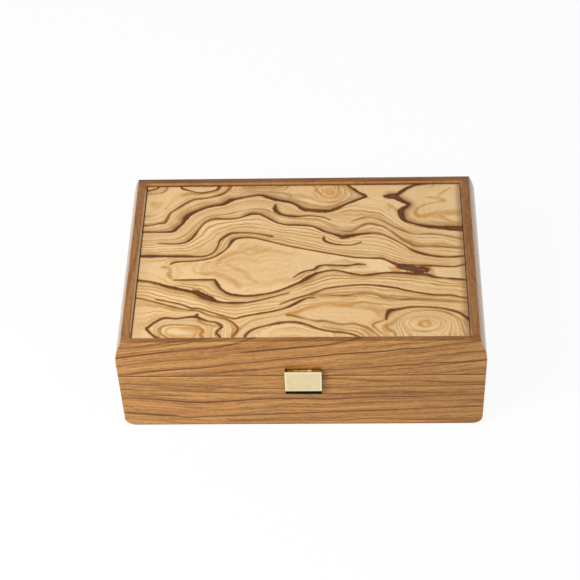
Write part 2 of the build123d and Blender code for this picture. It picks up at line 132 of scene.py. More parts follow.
# The veneer's figure. Each line has its growth level, which is how far it lies from the heart of
# the figure, how dark it is, how far its brown fades out above it or, if negative, below it, and
# its points (x, y, width) on the panel, from left to right or round its shape.
FIGURE = {
    "eye_top": (0, 0.9, 1.2, [
        (-87.5, -4.3, 0.9), (-85, -2.6, 1.3), (-80, -1.9, 0.9), (-70, -1.2, 0.7), (-59.5, 1.6, 0.9),
        (-51, 9.2, 1.1), (-47.2, 16.6, 2.2), (-44.5, 18.9, 1.4), (-38.5, 20.1, 1.1), (-33, 19.6, 1.1),
        (-24.4, 17, 0.9), (-5, 10.5, 0.7), (32, 1.2, 0.8), (38.9, 0.2, 0.9), (49, -0.4, 0.9),
        (54.5, -1, 1.5), (62, -5.6, 2), (66, -6.7, 2), (80, -7.2, 1), (98, -8.6, 0.9), (103, -8.4, 0.8),
        (108.5, -6.7, 1)]),
    "eye_bottom": (0, 0.9, -1.8, [
        (-84.5, -18.7, 0.6), (-60, -18.7, 1.3), (-57, -19.6, 1.8), (-52.8, -27, 1.7),
        (-45.5, -32.1, 1.4), (-33, -33.3, 1.3), (-17, -30, 1.2), (-4, -23.3, 1.5), (0.5, -20.7, 2.2),
        (8, -14.8, 2.2), (13, -12.6, 1.2), (19, -11.1, 0.9), (24, -11.3, 1), (36, -14.9, 1.4),
        (43, -15.7, 1.5), (57, -13.6, 1.3), (73, -14.6, 2.4), (80, -15.2, 2), (85, -16.4, 2.3),
        (89, -18, 1.3), (108.5, -20.6, 1.3)]),
    "bridge": (-3, 0.85, 0.6, [
        (-5, -17.2, 0.6), (1, -12.3, 1.1), (8.6, -10, 1.2), (10.3, -8.2, 1.9), (12.5, -6.8, 1.4),
        (17, -6.2, 1.1), (29, -6.9, 1.1), (34, -6.4, 1), (37, -5.7, 1.9), (42.5, -6.1, 0.4)]),
    "valley": (7, 0.85, 1.4, [
        (-108.5, 3.3, 2.4), (-81, 2.9, 1.8), (-69, 2.4, 1), (-64, 3.2, 1), (-60.5, 5.2, 0.9),
        (-58, 8.8, 0.9), (-56.2, 13.5, 1), (-55.6, 17.2, 1.3), (-50, 23, 1.1), (-45, 24.5, 0.9),
        (-33, 23.9, 0.8), (-20, 20.7, 0.9)]),
    "wave": (20, 0.85, 3.2, [
        (-97, 14.9, 0.4), (-86, 14.4, 0.8), (-80, 15.4, 1), (-76.5, 17.6, 1.2), (-73.6, 21.5, 1.1),
        (-68.3, 32.3, 1), (-64.5, 36.3, 0.9), (-60, 38, 0.9), (-50, 37.8, 1), (-43, 38.9, 0.8),
        (-36, 42.2, 1.6), (-32, 42.7, 1.8), (-28, 41.5, 1.6), (-18.9, 34.9, 1.2), (-13, 32.2, 1.1),
        (-8, 31.5, 1), (6, 30.3, 1.3), (15, 25.2, 1.8), (24.5, 21.2, 2.2), (28.5, 19.6, 3.6),
        (38, 21.9, 2), (45, 22.9, 1.6), (49, 22.8, 0.8)]),
    "wave_link": (20, 0.55, 2.8, [
        (43, 22.6, 1), (48, 22.9, 1.4), (55, 21.4, 1), (68, 12.3, 0.6), (72, 8.3, 0.6)]),
    "wave_tail": (20, 0.95, 1.6, [
        (68.6, 11.6, 0.3), (75, 6.2, 1.3), (85, 2, 1.7), (97, 0.1, 1), (108.5, 1, 1)]),
    "hook_right": (12, 0.85, 1.0, [
        (14.8, 20.2, 0.8), (14.6, 17.8, 1.5), (16.2, 15.4, 1.5), (23, 12.8, 1.1), (33, 12.1, 0.8),
        (40, 14.8, 0.5)]),
    "hook_left": (28, 0.9, 1.6, [
        (-18.8, 51.4, 1), (-18.9, 47, 3), (-15, 42, 2), (-5.6, 39.7, 1.5), (5, 40.2, 0.7),
        (14, 38.6, 0.5), (19, 36, 0.4)]),
    "right_lower_fold": (25, 0.42, 1.2, [
        (20, 27, 0.5), (30, 24.9, 0.8), (35, 26, 0.9), (43.6, 31.8, 1.3), (53, 29.9, 1), (58, 26.6, 1.2),
        (67.5, 16.8, 1.4), (72, 13.5, 1.3), (77, 10.4, 1.4), (90, 10.1, 1.2), (108.5, 8, 1)]),
    "right_upper_fold": (31, 0.42, 0.8, [
        (33, 34, 0.5), (43.3, 38.1, 1), (52.5, 36, 1), (61, 29.5, 1.2), (70.5, 24, 1), (76, 21.9, 1.1),
        (86, 21.7, 1), (94, 20.7, 1), (108.5, 16.7, 1.6)]),
    "peak": (38, 0.95, 2.8, [
        (-108.5, 26, 1), (-94, 25.8, 1.2), (-88, 26.4, 2.2), (-85.5, 29.5, 2.4), (-82, 34, 2.8),
        (-80, 39.5, 3.2), (-76.5, 43.5, 3), (-70, 47.5, 2.4), (-62, 50.8, 1.8), (-55.5, 52, 2.6),
        (-50.5, 55.5, 3), (-45.6, 57.5, 1.6), (-31, 60.8, 1.4), (-25.6, 59.2, 2.4), (-19.5, 56.4, 2.6),
        (-13.9, 54.9, 1.6), (-8, 53.2, 2.2), (-4, 50.6, 2), (-0.5, 47.2, 3), (4, 45.8, 3.2),
        (18.5, 44.8, 2.8), (30, 51.2, 1.4), (41.5, 57.4, 2.2), (43.6, 58.9, 1.8), (41, 60.8, 2.2),
        (38, 63.1, 1.6), (31, 70, 1.5)]),
    "ridge": (46, 0.55, 1.8, [
        (-108.5, 31.9, 1.1), (-104, 32.3, 1.1), (-98, 34, 0.9), (-94, 35.3, 1.4), (-91.9, 41, 1.4),
        (-90, 45, 1.2), (-78.3, 55.5, 1.5), (-73.5, 57.5, 1.2), (-66, 58.6, 1), (-56, 62.2, 1.4),
        (-51, 68, 1.7), (-50.6, 70, 1.7)]),
    "small_crest": (43, 0.3, -2.5, [
        (-44, 62, 0.8), (-40, 64, 0.9), (-30, 64.5, 0.8), (-20, 63.9, 0.9), (-8.8, 61.6, 1.2),
        (-9.4, 58.2, 0.8)]),
    "top_band": (50, 0.25, 1.5, [
        (-48, 66, 1), (-40, 67.2, 2), (-30, 67.8, 2), (-20, 67.6, 2), (-14, 69.6, 1.6)]),
    "small_eye": (52, 0.7, 0.8, [
        (-85.2, 70, 1.2), (-84.2, 68, 1.1), (-78.5, 65.8, 0.8), (-71, 63.5, 1.1), (-61.5, 66, 0.9),
        (-59.3, 67.6, 1.3), (-58.4, 70, 1.8)]),
    "corner_inner": (58, 0.7, 0.6, [(-108.5, 66, 1.6), (-102.6, 67.9, 1), (-100.8, 70, 1)]),
    "corner_outer": (54, 0.35, 2.5, [
        (-108.5, 63.2, 1), (-102, 62.9, 1), (-98, 64.4, 1), (-95.3, 66.8, 1.1), (-95, 70, 1.2)]),
    "top_right_lobe": (42, 1.0, 0.8, [
        (86, 70.5, 1), (80, 69.9, 1.6), (75.5, 68.4, 1.9), (71, 65.6, 2.2), (68.5, 63.3, 3.2),
        (65.5, 60.6, 3.2), (62, 58.8, 4.6), (58.5, 58.4, 3.4), (56.3, 58.6, 1.8)]),
    "right_cliff": (42, 1.0, 2.0, [
        (60, 58.2, 3.4), (64, 57.2, 4.2), (70.5, 52.2, 2.8), (73, 50.4, 2.4), (68.4, 45.8, 4.2),
        (67.4, 42.5, 5), (67.6, 39, 4.4), (69, 35.8, 3), (71.8, 33.4, 2.2), (80, 30.2, 2.2), (92, 28, 3.4),
        (108.5, 26.2, 6.2)]),
    "left_wedge": (8, 0.95, -1.8, [
        (-108.5, -18.7, 1.5), (-100, -20.2, 1.3), (-94, -22.2, 2.2), (-88, -24.6, 2.2),
        (-74, -28.8, 2.4), (-69, -29.8, 3.6), (-60.5, -35, 5.2), (-54, -38.5, 2), (-42, -39.4, 1.6),
        (-30, -38, 0.9), (-8, -31, 0.4)]),
    "run": (12, 0.85, -0.8, [
        (-13.5, -40.9, 0.5), (-4, -36.3, 0.8), (8, -31.6, 0.9), (18, -27.1, 0.9), (34, -24.8, 0.8),
        (45, -24.5, 0.9), (61, -27, 1.2), (69, -29.7, 1.2), (86, -33.6, 1), (98, -34.2, 0.9),
        (103, -35.6, 0.8), (108.5, -36.7, 1.1)]),
    "brown_fold": (19, 0.42, 3.5, [
        (6, -33.9, 0.8), (12, -33.3, 1.2), (30, -33.6, 1.1), (36, -32.3, 1.1), (44, -32.1, 1.1),
        (50, -33.7, 1.2), (56, -36.2, 1.3), (66, -37.4, 1.3), (78, -37.7, 1.4), (108.5, -40.5, 0.9)]),
    "upper_hair": (20, 1.0, -0.5, [
        (-95, -35.8, 0.5), (-79, -40.2, 0.8), (-72, -43.6, 0.9), (-66, -44.4, 0.6), (-58, -47.6, 0.6),
        (-45, -52.8, 0.7), (-41.5, -53, 0.9), (-36.5, -51.2, 1.1), (-17, -46.7, 1), (-9, -43.8, 1.2),
        (-3.5, -40.4, 1.8), (4, -35.6, 0.7), (9, -35.6, 0.5)]),
    "lower_hair": (24, 0.65, -0.6, [
        (-108.5, -34.7, 1.1), (-104, -35.5, 0.8), (-77, -44.7, 0.7), (-67, -46.2, 0.6),
        (-59, -50.2, 0.6), (-50, -52.7, 0.6), (-44, -56.4, 0.9), (-40.2, -62, 1.2), (-43.6, -68.8, 0.7)]),
    "arrow_low": (27, 0.42, 0.8, [
        (-8.6, -50.3, 1.2), (-4, -51.3, 1.4), (9, -55.5, 1.2), (16, -56, 1.5), (26, -58.8, 1.2),
        (34, -58.3, 1.1), (40, -60.2, 1), (44.5, -62.8, 1.3), (51, -69.5, 0.9)]),
    "dome": (34, 0.72, 0.8, [
        (-35.2, -70, 1.8), (-34.7, -67, 1.9), (-29, -62, 1), (-11.5, -56.8, 1.3), (0, -57.3, 1.2),
        (12, -62.6, 1.2), (20, -64.8, 1.1), (28, -65.8, 0.9), (34, -67.6, 1), (38, -69.8, 1)]),
    "dome_hair": (31, 0.38, 0.5, [(14, -60.5, 0.4), (22, -62.3, 0.8), (35, -64.8, 0.7), (41, -68.3, 0.6)]),
    "left_knot": (34, 0.88, -1.2, [
        (-90.8, -69.8, 1.6), (-94.5, -67.3, 1.5), (-99.3, -61.8, 1.5), (-97.8, -59.5, 1.3),
        (-94.5, -56, 1.1), (-88.5, -52.4, 1.3), (-80, -52.8, 1.1), (-73, -51.6, 1.4), (-68, -51.3, 1.6),
        (-64, -53.5, 1.4), (-58.5, -55.6, 1.1), (-54.5, -56.4, 1), (-50.6, -59.8, 1.5),
        (-52.2, -62.3, 1.3), (-53.8, -65.4, 1.5), (-52, -67.8, 1.6), (-51.2, -70, 1.5)]),
    "left_knot_ring": (40, 0.32, -0.8, [
        (-84, -69.8, 0.9), (-90, -66, 1), (-92, -62.5, 1), (-89, -59.3, 1), (-82, -58.2, 0.9),
        (-73, -58.6, 0.9), (-67, -60.4, 1), (-62.5, -63.5, 1.2), (-64.5, -66, 1), (-62, -69.5, 1)]),
    "left_knot_shade": (37, 0.3, -1.6, [(-66, -55.2, 1.2), (-61, -57.6, 1.6), (-53, -59.6, 1.2)]),
    "left_knot_spur": (34, 0.85, 0.3, [(-67.6, -49.7, 1.4), (-67.1, -49.5, 1.4)]),
    "right_knot": (26, 0.95, -1.4, [
        (55.5, -54.8, 0.8), (55.5, -52.4, 1.6), (57.4, -47.7, 3.2), (62.5, -46.2, 1.5), (74, -44.2, 0.9),
        (90, -45.2, 0.8), (101, -48.5, 1.1), (105, -51.4, 1.3), (108.5, -55, 2.6)]),
    "right_knot_ring": (30, 0.36, -0.6, [
        (62, -55.2, 0.8), (66, -51.4, 0.8), (71, -48.8, 0.7), (78, -47.2, 0.7), (87, -47.3, 0.7),
        (94, -49, 0.7), (100, -52.7, 0.8), (103.5, -57, 0.9), (104.3, -63, 0.9), (105.8, -69, 0.8)]),
    "right_knot_tail": (30, 0.36, 0.8, [
        (61.8, -55.5, 0.8), (60.2, -57.2, 1.2), (56, -60.2, 1.2), (55.7, -62.4, 1.3), (60.4, -66.4, 1.2),
        (60.9, -69.5, 0.9)]),
    "tail_outer": (28, 0.36, 0.5, [
        (53.5, -55.5, 0.9), (46.9, -59.1, 1.2), (49.8, -63.8, 0.9), (55.5, -69, 0.8)]),
    "right_knot_core": (38, 0.22, 0.6, [
        (66, -58, 0.7), (70, -54, 0.7), (80, -51.8, 0.7), (90, -53.6, 0.8), (93.5, -58, 0.8),
        (90, -63, 0.8), (80, -65.4, 0.8), (70, -63, 0.8), (66, -58, 0.7)]),
    "burl": (0, 0.9, 1.0, [
        (64.2, -8.2, 2.6), (67, -8.8, 4.2), (72, -9.4, 5.2), (77, -10.8, 6.8), (80.5, -11.6, 7.6),
        (82, -11.8, 5.4)]),
}

# The hearts of the rings, as short lines from one end to the other and their level.
HEARTS = [
    ((-62, -9), (-8, -4), -6), ((17, 62.5), (21, 62.3), 54), ((-77, 69), (-67, 69), 57),
    ((-86, -64), (-68, -63), 45), ((78.5, -58.5), (82, -58.5), 42), ((-15, -69), (15, -69.5), 40),
    ((88, 62), (104, 58), 50), ((90, 39), (107, 38), 54), ((-107, 52), (-100, 53), 60),
    ((47, 62), (54, 66), 46), ((6, -49), (42, -51.5), 30), ((-108, -9), (-96, -9), 4),
]

# Greyish tints and warm ones, as soft strokes: a strength and points (x, y, width).
GREY = {
    "under_ridge": (0.7, [(-108, 29, 4), (-91, 30, 4), (-86, 42, 3)]),
    "over_peak": (0.7, [(-62, 55, 3), (-30, 64, 4), (-4, 54, 3)]),
    "lobe_top": (0.7, [(70, 58, 6), (76, 62, 8), (92, 66, 4)]),
    "lobe_middle": (0.7, [(84, 46, 3), (102, 48, 4), (108, 50, 6)]),
    "lobe_fork": (0.7, [(98, 37, 3), (104, 36, 3), (108, 36, 4)]),
    "lobe_edge": (0.7, [(74, 37, 3), (76, 50, 3), (72, 44, 2)]),
    "peak_inside": (0.7, [(33, 57, 4), (37, 59.5, 4), (34, 63, 3)]),
    "left_of_eye": (0.7, [(-106, -4, 4), (-98, -6, 5), (-92, -8, 3)]),
    "right_of_burl": (0.7, [(92, -13, 2), (100, -14, 3), (108, -14, 3)]),
    "left_knot_inside": (0.7, [(-96, -60, 2), (-92, -56, 2), (-70, -55, 2.4)]),
    "right_knot_edge": (0.7, [(58, -53, 2), (60, -50, 2), (66, -47.4, 1.4)]),
}
AMBER = {
    "left_cap": (1.0, [
        (-93.5, -7, 0.8), (-89.4, -7.4, 2.2), (-87.4, -10, 1.6), (-88, -14, 2.4), (-86, -17.2, 1.2)]),
    "eye_heart": (0.55, [
        (-70, -4.5, 1), (-72, -8.5, 1.6), (-70.5, -12, 1.4), (-64, -13.4, 1.8), (-57, -12.8, 2.2),
        (-45, -20, 2.6), (-41, -25, 2.6)]),
    "right_lobe": (0.9, [
        (97, 53.8, 2.2), (94, 52.9, 1), (82, 49.2, 1), (77.2, 43.5, 2), (78.2, 39.9, 2.6),
        (82, 38.9, 2.4), (93, 41.8, 2.8), (108.5, 42, 4.4)]),
    "right_spur": (0.9, [(85.6, 57.3, 0.8), (93, 55.9, 1.8), (96, 54.6, 1.8)]),
    "right_plume": (0.7, [(102, 66.5, 1), (94.4, 60, 1.4), (93.4, 57, 1.2)]),
    "right_fork": (0.9, [(94, 38.4, 1.6), (101.5, 33.4, 1.4), (108.5, 31.8, 1.6)]),
    "arrow_top": (0.9, [
        (-8.6, -50.1, 2), (14.5, -40.8, 2), (30, -42, 2.2), (36, -40.4, 2), (42, -40, 1.4),
        (52, -42, 1.2)]),
    "burl_left": (1.0, [
        (58, -8.6, 0.8), (61.5, -10.4, 3.4), (64, -9.6, 5), (61.6, -12.6, 3), (58.4, -14.4, 0.8)]),
    "burl_right": (1.0, [(83.4, -8.4, 2.4), (84.4, -11.4, 4.6), (85.6, -14.8, 3.4), (88.6, -16.4, 0.8)]),
    "eye_arc": (0.5, [
        (-57, -5, 1.4), (-53, 1.6, 2.4), (-47, 5.4, 2.6), (-40, 5.6, 2), (-33, 4, 1.4), (-21, 9.6, 1.2)]),
    "eye_arc_inner": (0.4, [(-51, -3.4, 1.6), (-46, -0.6, 2.4), (-38, 0, 2.4), (-30, -2.2, 1.6)]),
    "eye_arc_low": (0.5, [(-50, -5, 1.2), (-38, -12.6, 2.4), (-34, -18, 2), (-29, -21.4, 1.2)]),
    "under_bridge": (0.8, [(33, -12.6, 1), (44, -13.8, 2.4), (50, -13.2, 1.4)]),
    "left_glow": (0.6, [(-103.5, 53, 3), (-101, 52, 6), (-99, 53, 3)]),
    "cliff_glow": (0.4, [(59.5, 51.5, 1.4), (60, 49, 2.6), (59.6, 46, 1.2)]),
    "right_wedge": (0.8, [(86, 40, 2.4), (92, 39.4, 3.6), (96, 37.8, 2)]),
    "tail_glow": (0.8, [(55, -60, 2), (55.4, -62, 3.4), (57.4, -65, 2)]),
    "arrow_glow": (0.7, [(40, -62.6, 1.6), (43.6, -65.2, 3), (46, -68, 2)]),
    "ring_heart": (0.7, [(17.6, 62.6, 2.4), (20.6, 62.3, 2.4)]),
    "ring_inner": (0.7, [
        (12.6, 62.4, 0.7), (15.4, 66.2, 0.7), (20, 67.2, 0.7), (24.8, 65.4, 0.7), (26.4, 61.6, 0.7),
        (23.6, 57.8, 0.7), (18, 57.2, 0.7), (13.8, 59.2, 0.7), (12.6, 62.4, 0.7)]),
    "ring_outer": (0.6, [
        (7.4, 62, 0.8), (9.8, 67.4, 0.8), (16, 70, 0.8), (26, 69.2, 0.8), (31, 63, 0.8),
        (27.4, 55.6, 0.8), (19, 53.2, 0.8), (11, 55.6, 0.8), (7.4, 62, 0.8)]),
    "left_knot_swirl": (0.55, [(-77, -61.6, 2), (-70, -62.6, 4), (-63, -63.4, 2.4)]),
    "left_knot_low": (0.5, [(-91, -66, 1), (-81, -68.4, 2), (-69, -67.6, 2.4), (-62, -66, 2)]),
    "knot_heart": (0.7, [(76, -58.2, 0.4), (82, -58.4, 0.8), (84.6, -59, 0.4)]),
    "knot_inner": (0.4, [
        (72, -57.6, 0.5), (75, -55.4, 0.8), (81, -55, 0.6), (86.4, -57, 0.9), (86, -60, 0.6),
        (80, -61.6, 0.9), (74.4, -60.6, 0.5)]),
    "knot_outer": (0.6, [
        (69.4, -59, 0.7), (73, -54.2, 0.8), (81, -53.2, 0.8), (89.4, -55, 0.8), (90.6, -60, 0.8),
        (85, -64.4, 0.8), (76, -64.6, 0.8), (69.4, -59, 0.7)]),
}

# Places where the rings are faint, as broad soft strokes.
CALM = {
    "right_lobe": (1.0, [(78, 61, 10), (104, 56, 16), (80, 45, 12), (106, 40, 14)]),
    "left_of_eye": (1.0, [(-107, -8, 12), (-92, -12, 12), (-85, -20, 4)]),
    "left_corner": (0.9, [(-99, 46, 8), (-106, 53, 14), (-90, 56, 10)]),
    "arrow": (0.9, [(2, -49, 5), (20, -49, 10), (42, -51, 8)]),
    "dome": (0.7, [(-20, -67, 5), (14, -67, 5)]),
    "hourglass": (1.0, [(43, 68, 8), (50, 62, 12), (52, 54, 9)]),
    "eye": (0.6, [(-64, -8, 10), (-42, -8, 24), (16, -1, 5)]),
}

# Grain lines on the front of the case: how dark each is, how dark the wood just above it is, and
# its points (x, height, width) from left to right. The height runs up the front and on over the
# top edge on to the rim.
LID_GRAIN = {
    "first_sweep": (0.95, 0.3, [(-120, 69.4, 1), (-74.5, 77.5, 1.1), (-52.8, 80.3, 1), (-30, 88, 0.6)]),
    "left_corner": (0.6, 0.25, [(-120, 75.4, 0.7), (-88.7, 81, 0.8), (-70, 85, 0.6)]),
    "left_rim": (0.6, 0.5, [(-120, 79, 0.7), (-100.3, 80.6, 0.8), (-94.5, 82.3, 1.2), (-66, 87.5, 0.8)]),
    "left_faint": (0.3, 0.25, [(-120, 60.5, 0.8), (-102, 62.7, 1), (-87, 66, 1), (-50, 69.5, 0)]),
    "long_sweep": (0.95, 0.3, [
        (-120, 52, 0.4), (-80.3, 58.3, 1), (-63.7, 59.8, 1), (-39.5, 63.7, 1), (-27.8, 65, 1),
        (-15.3, 67.3, 1), (14.7, 71, 1), (25.5, 72.7, 1), (56.3, 75.3, 0.9), (64.7, 77, 1),
        (75.5, 77.7, 1), (88, 80, 1), (120, 85.6, 0.9)]),
    "top_short": (0.85, 0.3, [
        (-40, 73.8, 0), (-17.8, 77.3, 1), (-9.5, 77.9, 1), (-3.7, 79.3, 1), (10.5, 80.6, 1),
        (27.2, 84.2, 0.8), (36, 87, 0.7)]),
    "low_faint": (0.35, 0.2, [(-80, 52.4, 0), (-72, 53.1, 0.8), (-23.7, 58.5, 0.8), (-10, 60.5, 0)]),
    "seam_faint": (0.5, 0.2, [(-55, 50.7, 0), (-30.3, 51.4, 0.9), (-6, 53, 0.8)]),
    "right_low": (0.95, 0.25, [
        (8, 55.8, 0), (15.5, 56.4, 0.9), (64.7, 61, 1), (77.2, 62, 1), (82.2, 63.1, 1), (98, 63.5, 0.9),
        (120, 65.8, 0.9)]),
    "right_middle": (0.6, 0.3, [(84, 70.4, 0), (98, 71.4, 0.9), (102.2, 72.7, 1), (120, 73.9, 0.9)]),
    "right_upper_faint": (0.3, 0.3, [(20, 66.5, 0), (60, 70, 1), (84, 74, 0)]),
    "above_long_faint": (0.25, 0.35, [(30, 78.6, 0), (64, 82, 1), (90, 86.8, 0.7)]),
}
BASE_GRAIN = {
    "first": (0.65, 0.3, [
        (-120, 43.6, 0.6), (-94.5, 42.7, 0.8), (-72, 40.2, 1.1), (-55.3, 40.3, 1.1), (-42, 38.7, 1),
        (0, 38.3, 0.9)]),
    "second": (0.75, 0.35, [
        (-120, 37.7, 0.8), (-113.5, 37.9, 1.3), (-107, 36.7, 0.8), (-92.8, 36.4, 0.9),
        (-60.3, 34.3, 1.1), (0, 32.6, 0.9)]),
    "third": (0.6, 0.25, [(-120, 32.3, 0.7), (-101.2, 31, 0.9), (-92.8, 31.4, 1), (-72, 30.6, 0)]),
    "sag": (0.9, 0.45, [
        (-120, 28.9, 0.8), (-102.8, 27.7, 0.9), (-70.3, 23.9, 1.5), (-47, 25, 1.2), (-30.3, 26.7, 0.9),
        (1.3, 27.3, 0.9), (14.7, 26.4, 0.9), (39.7, 28.1, 0.9), (77.2, 29.2, 1), (120, 31, 1)]),
    "low_bend": (0.85, 0.35, [
        (-120, 13.1, 0.9), (-95, 10.6, 2), (-83.7, 9.2, 1.1), (-80.3, 7.9, 0.9), (-63.7, 8.7, 0.9),
        (120, 18.2, 1)]),
    "bottom": (0.55, 0.3, [
        (-52, 3.9, 0), (-42.8, 3.9, 0.8), (1.3, 4.3, 0.9), (31.3, 3.9, 0.9), (39.7, 5.2, 0.9),
        (52.2, 5.3, 0.9), (81.3, 3.9, 1), (120, 3.4, 0.9)]),
    "bottom_left_faint": (0.35, 0.2, [(-98, 5.2, 0), (-92, 5.3, 0.8), (-74, 5.7, 0)]),
    "middle_faint": (0.3, 0.25, [
        (-80, 18.6, 0), (-72, 17.7, 0.9), (-55.3, 15.6, 0.9), (-22, 17, 0.9), (16, 17.6, 0)]),
    "under_seam": (0.7, 0.3, [
        (10, 48, 0), (19.7, 47.7, 0.8), (39.7, 46.4, 0.9), (48, 45.2, 1.7), (77.2, 45, 0.9),
        (83, 44.7, 1.7), (96, 43.8, 1.8), (104, 43.5, 1), (120, 43.1, 0.9)]),
    "right_faint": (0.5, 0.3, [
        (8, 37.5, 0), (27.2, 37.4, 0.9), (44.7, 35.6, 0.9), (64.7, 34.7, 1), (93.8, 31.8, 0.9),
        (114, 31.4, 0)]),
    "right_blot": (0.55, 0.2, [(104, 41.3, 0), (109, 41.2, 1.6), (120, 40.9, 1.4)]),
    "right_of_clasp": (0.5, 0.2, [(10, 33.2, 0), (14.7, 32.7, 0.8), (31, 31, 0)]),
    "right_middle_faint": (0.3, 0.3, [(24, 21.4, 0), (40, 22.2, 0.9), (120, 25, 0.8)]),
    "right_low_faint": (0.3, 0.25, [(40, 8.8, 0), (56, 9.4, 0.9), (120, 12.2, 0.8)]),
}


def linear(colour):
    """A screen colour from 0 to 255 as the linear RGBA that a shader takes."""
    parts = [c / 255 for c in colour]
    return tuple(c / 12.92 if c <= 0.04045 else ((c + 0.055) / 1.055) ** 2.4 for c in parts) + (1.0,)


def metres(*lengths):
    return Vector([length * MM for length in lengths])


def box_mm(node):
    """The low and high corner of a CAD node."""
    return tuple(np.array(corner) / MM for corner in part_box(node))


def add_object(name, data):
    """A new object in the scene."""
    made = bpy.data.objects.new(name, data)
    bpy.context.scene.collection.objects.link(made)
    return made


class Nodes:
    """The node tree of a material or world, with short ways to add and wire its nodes."""

    def __init__(self, owner, output="OutputMaterial"):
        owner.use_nodes = True
        self.owner, self.tree = owner, owner.node_tree
        self.tree.nodes.clear()
        self.output = self.add(output)

    def add(self, kind, **settings):
        node = self.tree.nodes.new("ShaderNode" + kind)
        for key, value in settings.items():
            setattr(node, key, value)
        return node

    def put(self, socket, value):
        """Wires an output to a socket, or sets the socket's own value."""
        if isinstance(value, bpy.types.NodeSocket):
            self.tree.links.new(value, socket)
        else:
            socket.default_value = value

    def math(self, operation, *values):
        node = self.add("Math", operation=operation)
        for socket, value in zip(node.inputs, values):
            self.put(socket, value)
        return node.outputs[0]

    def times(self, first, *others):
        for other in others:
            first = self.math("MULTIPLY", first, other)
        return first

    def plus(self, base, value, share=1.0):
        """The base and a share of the value."""
        return self.math("MULTIPLY_ADD", value, share, base)

    def minus(self, a, b):
        return self.math("SUBTRACT", a, b)

    def larger(self, a, b):
        return self.math("MAXIMUM", a, b)

    def smaller(self, a, b):
        return self.math("MINIMUM", a, b)

    def pick(self, condition, if_not, if_so):
        """One of two numbers, by a condition that is 0 or 1."""
        node = self.add("Mix", data_type="FLOAT")
        for place, value in ((0, condition), (2, if_not), (3, if_so)):
            self.put(node.inputs[place], value)
        return node.outputs[0]

    def mix(self, share, a, b, blend="MIX"):
        """A mix of two colours, which are outputs or screen colours."""
        node = self.add("Mix", data_type="RGBA", blend_type=blend)
        for place, value in ((0, share), (6, a), (7, b)):
            self.put(node.inputs[place], linear(value) if isinstance(value, tuple) else value)
        return node.outputs[2]

    def layered(self, colour, *layers):
        """Lays colours over the first one, each by its own share."""
        for share, tint in layers:
            colour = self.mix(share, colour, tint)
        return colour

    def ramp(self, value, low, high, from_value=0.0, to_value=1.0, smooth=True):
        """value from low to high as from_value to to_value, held at both ends."""
        kind = "SMOOTHSTEP" if smooth else "LINEAR"
        node = self.add("MapRange", interpolation_type=kind)
        for socket, number in zip(node.inputs, (value, low, high, from_value, to_value)):
            self.put(socket, number)
        return node.outputs[0]

    def noise(self, vector, scale, detail=2.0, roughness=0.5, distortion=0.0):
        node = self.add("TexNoise", noise_dimensions="3D")
        settings = dict(Vector=vector, Scale=scale, Detail=detail, Roughness=roughness,
                        Distortion=distortion)
        for name, value in settings.items():
            self.put(node.inputs[name], value)
        return node.outputs["Fac"]

    def curve(self, value, points, value_span, height_span):
        """The height of a smooth curve through points, which are (value, height)."""
        low, high = value_span
        floor, ceiling = height_span
        node = self.add("FloatCurve")
        knots = [((v - low) / (high - low), (h - floor) / (ceiling - floor)) for v, h in points]
        line = node.mapping.curves[0].points
        line[0].location, line[1].location = knots[0], knots[-1]
        for knot in knots[1:-1]:
            line.new(*knot)
        node.mapping.use_clip = False
        node.mapping.update()
        self.put(node.inputs["Value"], self.ramp(value, low, high, smooth=False))
        return self.plus(floor, node.outputs[0], ceiling - floor)

    def place(self):
        """X, Y and Z on the object, in millimetres."""
        scaled = self.add("VectorMath", operation="SCALE")
        self.put(scaled.inputs[0], self.add("TexCoord").outputs["Object"])
        scaled.inputs["Scale"].default_value = 1 / MM
        return self.split(scaled.outputs[0])

    def split(self, vector):
        """The X, Y and Z of a vector."""
        parts = self.add("SeparateXYZ")
        self.put(parts.inputs[0], vector)
        return tuple(parts.outputs)

    def vector(self, x, y, z):
        node = self.add("CombineXYZ")
        for socket, value in zip(node.inputs, (x, y, z)):
            self.put(socket, value)
        return node.outputs[0]

    def bump(self, height, distance):
        """A normal from height, which is from 0 to 1 and distance millimetres high."""
        node = self.add("Bump")
        node.inputs["Distance"].default_value = distance * MM
        self.put(node.inputs["Height"], height)
        return node.outputs[0]

    def seen_directly(self):
        """From 0 to 1: whether a ray comes from the camera, a mirror or glass."""
        path = self.add("LightPath").outputs
        seen = path["Is Camera Ray"]
        for name in ("Is Glossy Ray", "Is Transmission Ray"):
            seen = self.larger(seen, path[name])
        return seen

    def surface(self, colour, roughness, normal, metallic=0.0, **others):
        """Wires a Principled shader to the output. others are its own socket names and values."""
        shader = self.add("BsdfPrincipled")
        sockets = {"Base Color": colour, "Roughness": roughness, "Metallic": metallic,
                   "Normal": normal, **others}
        for name, value in sockets.items():
            self.put(shader.inputs[name.replace("_", " ")], value)
        self.put(self.output.inputs["Surface"], shader.outputs[0])
        return self.owner


def material_nodes(name):
    """The empty node tree of a new material."""
    return Nodes(bpy.data.materials.new(name))


# The figured veneer.


def smooth_line(points):
    """Points of a Catmull-Rom spline through points, about LINE_STEP apart."""
    knots = np.array(points, float)
    ends = np.vstack([2 * knots[0] - knots[1], knots, 2 * knots[-1] - knots[-2]])
    runs = []
    for a, b, c, d in zip(ends, ends[1:], ends[2:], ends[3:]):
        count = max(2, int(np.hypot(*(c - b)[:2]) / LINE_STEP) + 1)
        t = np.linspace(0, 1, count, endpoint=False)[:, None]
        runs.append(0.5 * (2 * b + (c - a) * t + (2 * a - 5 * b + 4 * c - d) * t**2
                           + (3 * b - a - 3 * c + d) * t**3))
    return np.vstack(runs + [knots[-1:]])


